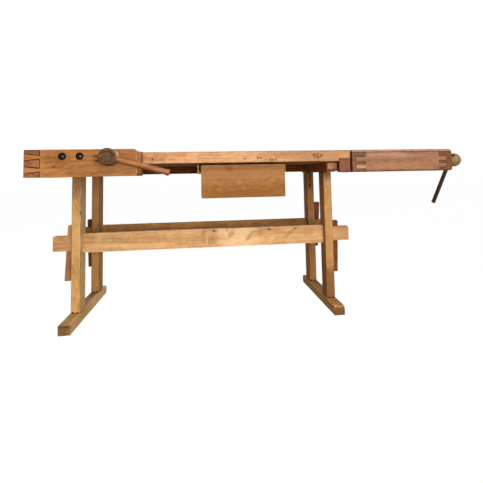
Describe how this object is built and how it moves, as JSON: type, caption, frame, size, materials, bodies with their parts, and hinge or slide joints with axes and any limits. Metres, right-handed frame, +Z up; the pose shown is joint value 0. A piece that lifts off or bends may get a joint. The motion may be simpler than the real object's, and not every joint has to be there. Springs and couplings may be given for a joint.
{
  "type": "woodworking bench",
  "caption": "Joiner's bench with a dovetailed shoulder vise, a sliding tail vise, dog holes, a tool tray, a hanging drawer and a wedged trestle base.",
  "frame": {"origin": "middle of the footprint, on the floor", "axes": "+X along the bench to the tail vise, +Y from the worker's side to the back, +Z up"},
  "size_m": [2.0834, 0.9136, 0.82],
  "materials": {
    "slab_wood": "oiled, worn pale",
    "arm_wood": "oiled, golden",
    "cap_wood": "oiled",
    "leg_wood": "dry, planed",
    "stretcher_wood": "dry, planed",
    "drawer_wood": "oiled",
    "tail_wood": "oiled, reddish",
    "dark_wood": "aged dark",
    "dark_handle_wood": "handled dark",
    "turned_wood": "turned, handled smooth",
    "bolt_steel": "dull steel"
  },
  "bodies": {
    "bench": {"top_slab": "slab_wood", "left_end_cap": "cap_wood", "right_end_cap": "cap_wood", "tray_floor": "dark_wood", "rear_rail": "dark_wood", "fixed_jaw": "tail_wood", "vise_arm": "arm_wood", "spacer_block": "arm_wood", "arm_bolt_1": "bolt_steel", "arm_bolt_2": "bolt_steel", "arm_washer_1": "bolt_steel", "arm_washer_2": "bolt_steel", "left_foot": "leg_wood", "right_foot": "leg_wood", "left_bearer": "leg_wood", "right_bearer": "leg_wood", "left_front_leg": "leg_wood", "left_rear_leg": "leg_wood", "right_front_leg": "leg_wood", "right_rear_leg": "leg_wood", "left_peg_1": "cap_wood", "left_peg_2": "cap_wood", "right_peg_1": "cap_wood", "right_peg_2": "cap_wood", "front_stretcher": "stretcher_wood", "rear_stretcher": "stretcher_wood", "front_left_wedge": "cap_wood", "front_right_wedge": "cap_wood", "rear_left_wedge": "cap_wood", "rear_right_wedge": "cap_wood", "left_runner": "slab_wood", "right_runner": "slab_wood"},
    "front_jaw": {"front_jaw": "arm_wood"},
    "front_screw": {"front_screw": "turned_wood"},
    "front_handle": {"front_handle": "arm_wood"},
    "tail_vise": {"tail_jaw_block": "tail_wood", "tail_end_block": "tail_wood", "tail_cheek": "tail_wood", "tail_top_plate": "tail_wood", "tail_guide_bar": "cap_wood", "tail_screw_keeper": "cap_wood"},
    "tail_screw": {"tail_screw": "turned_wood"},
    "tail_handle": {"tail_handle": "dark_handle_wood"},
    "drawer": {"drawer_front": "drawer_wood", "drawer_left_side": "drawer_wood", "drawer_right_side": "drawer_wood", "drawer_back": "drawer_wood", "drawer_bottom": "dark_wood", "drawer_left_cleat": "cap_wood", "drawer_right_cleat": "cap_wood"}
  },
  "joints": [
    {"name": "front_jaw_slide", "type": "slide", "parent": "bench", "child": "front_jaw", "axis": [0, -1, 0], "range_m": [-0.0122, 0.053]},
    {"name": "front_screw_turn", "type": "hinge", "parent": "front_jaw", "child": "front_screw", "pos_m": [-0.64435, -0.38325, 0.7855], "axis": [0, -1, 0], "range_deg": [-360, 1584]},
    {"name": "front_handle_slide", "type": "slide", "parent": "front_screw", "child": "front_handle", "axis": [-0.9627, 0, 0.2706], "range_m": [0, 0.185]},
    {"name": "tail_vise_slide", "type": "slide", "parent": "bench", "child": "tail_vise", "axis": [1, 0, 0], "range_m": [-0.0097, 0.151]},
    {"name": "tail_screw_turn", "type": "hinge", "parent": "tail_vise", "child": "tail_screw", "pos_m": [0.94765, -0.13325, 0.7665], "axis": [1, 0, 0], "range_deg": [-288, 4500]},
    {"name": "tail_handle_slide", "type": "slide", "parent": "tail_screw", "child": "tail_handle", "axis": [0, -0.5373, 0.8434], "range_m": [0, 0.23]},
    {"name": "drawer_slide", "type": "slide", "parent": "bench", "child": "drawer", "axis": [0, -1, 0], "range_m": [0, 0.24]}
  ],
  "couplings": [
    {"joint": "front_jaw_slide", "follows": "front_screw_turn", "m_per_rad": 0.0019099},
    {"joint": "tail_vise_slide", "follows": "tail_screw_turn", "m_per_rad": 0.0019099}
  ]
}
